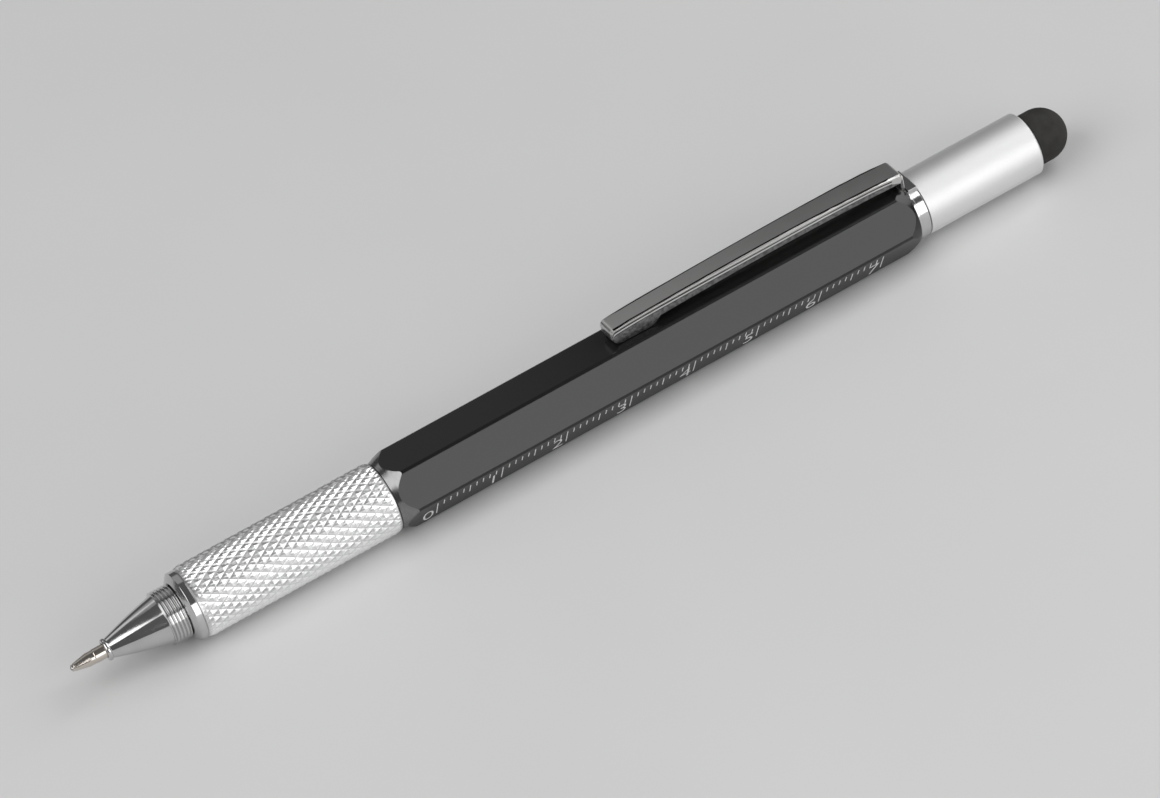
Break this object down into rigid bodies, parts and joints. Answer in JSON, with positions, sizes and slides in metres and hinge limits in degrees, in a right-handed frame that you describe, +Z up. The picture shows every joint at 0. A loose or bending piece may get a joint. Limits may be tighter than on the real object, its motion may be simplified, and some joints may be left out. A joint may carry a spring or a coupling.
{
  "type": "multi tool pen",
  "caption": "Hexagonal twist-action ball pen with a ruler on its barrel, a pocket clip, a touch stylus on its screw-off cap, a spirit level and a double-ended bit inside.",
  "frame": {"origin": "under the middle of the pen's length, on the level of the underside of the grip", "axes": "+X along the pen from its writing tip to its stylus, +Z up through the clip, +Y to the side away from the ruler"},
  "size_m": [0.155, 0.0112, 0.0134],
  "materials": {
    "gloss_lacquer": "deep gloss black lacquer over aluminium",
    "knurled_aluminium": "bright diamond knurl",
    "satin_aluminium": "fine satin, turned",
    "polished_chrome": "mirror polish",
    "satin_chrome": "fine satin plating",
    "stylus_rubber": "soft matt conductive rubber",
    "brass": "turned",
    "mechanism_steel": "drawn and cleaned",
    "white_acetal": "moulded",
    "seal_rubber": "moulded",
    "black_plastic": "moulded",
    "carbide_ball": "lapped",
    "refill_nickel": "turned and nickel plated",
    "refill_steel": "drawn tube",
    "refill_plastic": "moulded",
    "socket_steel": "turned and broached",
    "magnet_nickel": "nickel plated",
    "bit_steel": "hardened and ground",
    "clear_acrylic": "clear and polished",
    "level_liquid": "clear yellow-green liquid"
  },
  "bodies": {
    "barrel": {"hex_barrel": "gloss_lacquer", "cam_sleeve": "brass", "level_vial": "clear_acrylic", "level_liquid": "level_liquid", "vial_plug": "black_plastic", "vial_window": "clear_acrylic", "bit_socket": "socket_steel", "socket_magnet": "magnet_nickel", "clip_ring": "polished_chrome"},
    "grip": {"nose_ring": "polished_chrome", "grip_sleeve": "knurled_aluminium", "grip_coupler": "brass", "friction_ring": "seal_rubber", "guide_tube": "mechanism_steel", "retaining_ring": "mechanism_steel"},
    "nose": {"nose_cone": "polished_chrome"},
    "carrier": {"refill_carrier": "white_acetal", "follower_pin": "mechanism_steel"},
    "refill": {"refill_ball": "carbide_ball", "refill_tip": "refill_nickel", "refill_tube": "refill_steel", "refill_plug": "refill_plastic"},
    "clip": {"clip_arm": "satin_chrome"},
    "cap": {"cap_shell": "satin_aluminium", "cap_bush": "brass", "stylus_stem": "black_plastic", "stylus_dome": "stylus_rubber"},
    "bit": {"double_ended_bit": "bit_steel"}
  },
  "joints": [
    {"name": "grip_twist", "type": "hinge", "parent": "barrel", "child": "grip", "pos_m": [-0.0305, 0, 0.00512], "axis": [1, 0, 0], "range_deg": [0, 180]},
    {"name": "carrier_feed", "type": "slide", "parent": "grip", "child": "carrier", "axis": [1, 0, 0], "range_m": [0, 0.0056]},
    {"name": "nose_unscrew", "type": "slide", "parent": "grip", "child": "nose", "axis": [-1, 0, 0], "range_m": [0, 0.09]},
    {"name": "refill_pull", "type": "slide", "parent": "carrier", "child": "refill", "axis": [-1, 0, 0], "range_m": [0, 0.055]},
    {"name": "clip_flex", "type": "hinge", "parent": "barrel", "child": "clip", "pos_m": [0.05105, 0, 0.01019], "axis": [0, 1, 0], "range_deg": [0, 4], "stiffness_Nm_per_rad": 2},
    {"name": "cap_unscrew", "type": "slide", "parent": "barrel", "child": "cap", "axis": [1, 0, 0], "range_m": [0, 0.06]},
    {"name": "bit_pull", "type": "slide", "parent": "barrel", "child": "bit", "axis": [1, 0, 0], "range_m": [0, 0.031]}
  ],
  "couplings": [
    {"joint": "carrier_feed", "follows": "grip_twist", "m_per_rad": 0.0017507},
    {"joint": "refill_pull", "follows": "nose_unscrew", "ratio": 0.6},
    {"joint": "bit_pull", "follows": "cap_unscrew", "ratio": 0.5}
  ]
}
